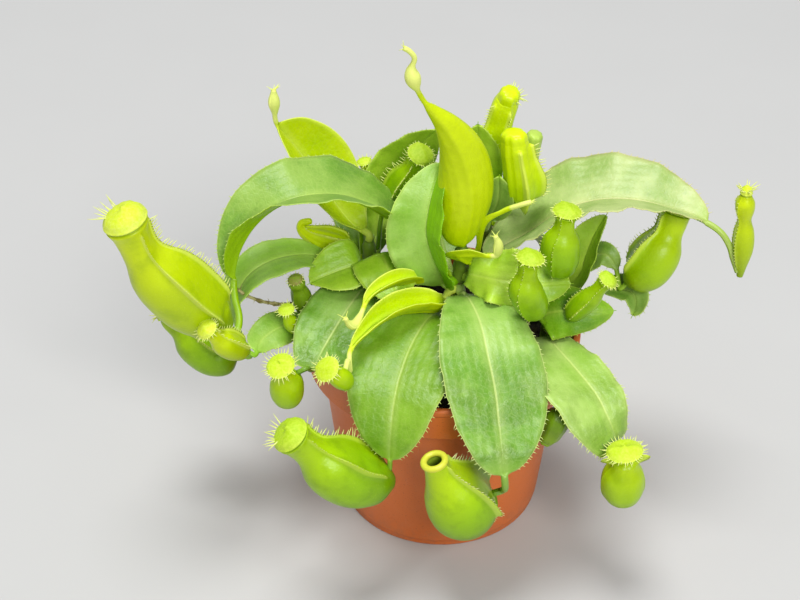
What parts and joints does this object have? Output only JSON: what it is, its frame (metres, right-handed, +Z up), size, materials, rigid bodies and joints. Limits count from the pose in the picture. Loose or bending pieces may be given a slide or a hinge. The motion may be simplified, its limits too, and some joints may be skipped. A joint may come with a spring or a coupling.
{
  "type": "potted pitcher plant",
  "caption": "Young tropical pitcher plants in a small terracotta-coloured plastic pot, with arching leaves and green hanging traps.",
  "frame": {"origin": "centre of the pot's underside", "axes": "+Z up along the pot's axis; the plant's front, with the open trap, faces -Y; the two widest leaves reach out along -X and +X"},
  "size_m": [0.197, 0.1318, 0.1701],
  "materials": {
    "pot_plastic": "terracotta-coloured moulded plastic, satin, with fine scuffs and dust",
    "potting_mix": "loose dark bark and peat, rough and matte",
    "stem_green": "green stem with brown leaf scars, satin",
    "leaf_green": "leathery grey-green leaf with a soft sheen, pale midrib and margin",
    "leaf_young": "smooth yellow-green young leaf, waxy sheen",
    "pitcher_green": "waxy bright green trap with pale yellow lid and hairs",
    "pitcher_dark": "shaded dark green trap, satin",
    "dead_tendril": "dry brown tendril, rough"
  },
  "bodies": {
    "root": {"dead_tendril": "dead_tendril", "leaf_arch_left": "leaf_green", "leaf_arch_right": "leaf_green", "leaf_back_centre": "leaf_green", "leaf_back_right": "leaf_green", "leaf_folded_upright": "leaf_green", "leaf_front_centre": "leaf_green", "leaf_front_left": "leaf_green", "leaf_left_front": "leaf_green", "leaf_left_lower": "leaf_green", "leaf_left_small": "leaf_green", "leaf_mid_centre": "leaf_green", "leaf_mid_left": "leaf_green", "leaf_rear_centre": "leaf_green", "leaf_rear_left": "leaf_green", "leaf_rear_right": "leaf_green", "leaf_right_front": "leaf_green", "leaf_right_low": "leaf_green", "leaf_right_pale": "leaf_green", "leaf_right_small": "leaf_green", "leaf_right_upright": "leaf_green", "leaf_sprout": "leaf_young", "leaf_tall_young": "leaf_young", "leaf_thin_sprout": "leaf_young", "leaf_top_small": "leaf_green", "leaf_wavy_right": "leaf_green", "leaf_young_front": "leaf_young", "leaf_young_left": "leaf_young", "leaf_young_partner": "leaf_young", "pitcher_back_bud": "pitcher_green", "pitcher_back_left": "pitcher_green", "pitcher_big_left": "pitcher_green", "pitcher_centre_right": "pitcher_green", "pitcher_far_right": "pitcher_green", "pitcher_front_left": "pitcher_green", "pitcher_front_right": "pitcher_green", "pitcher_front_spiky": "pitcher_green", "pitcher_left_bud": "pitcher_green", "pitcher_left_curled": "pitcher_green", "pitcher_left_dark": "pitcher_dark", "pitcher_left_lower": "pitcher_green", "pitcher_left_round": "pitcher_green", "pitcher_left_small": "pitcher_green", "pitcher_open": "pitcher_green", "pitcher_right": "pitcher_green", "pitcher_right_low": "pitcher_green", "pitcher_right_tall": "pitcher_green", "pitcher_right_under": "pitcher_green", "pitcher_top_back": "pitcher_green", "pitcher_top_front": "pitcher_green", "pitcher_top_small": "pitcher_green", "pot": "pot_plastic", "potting_mix": "potting_mix", "stem_back": "stem_green", "stem_left": "stem_green", "stem_main": "stem_green", "stem_right": "stem_green"}
  },
  "joints": []
}
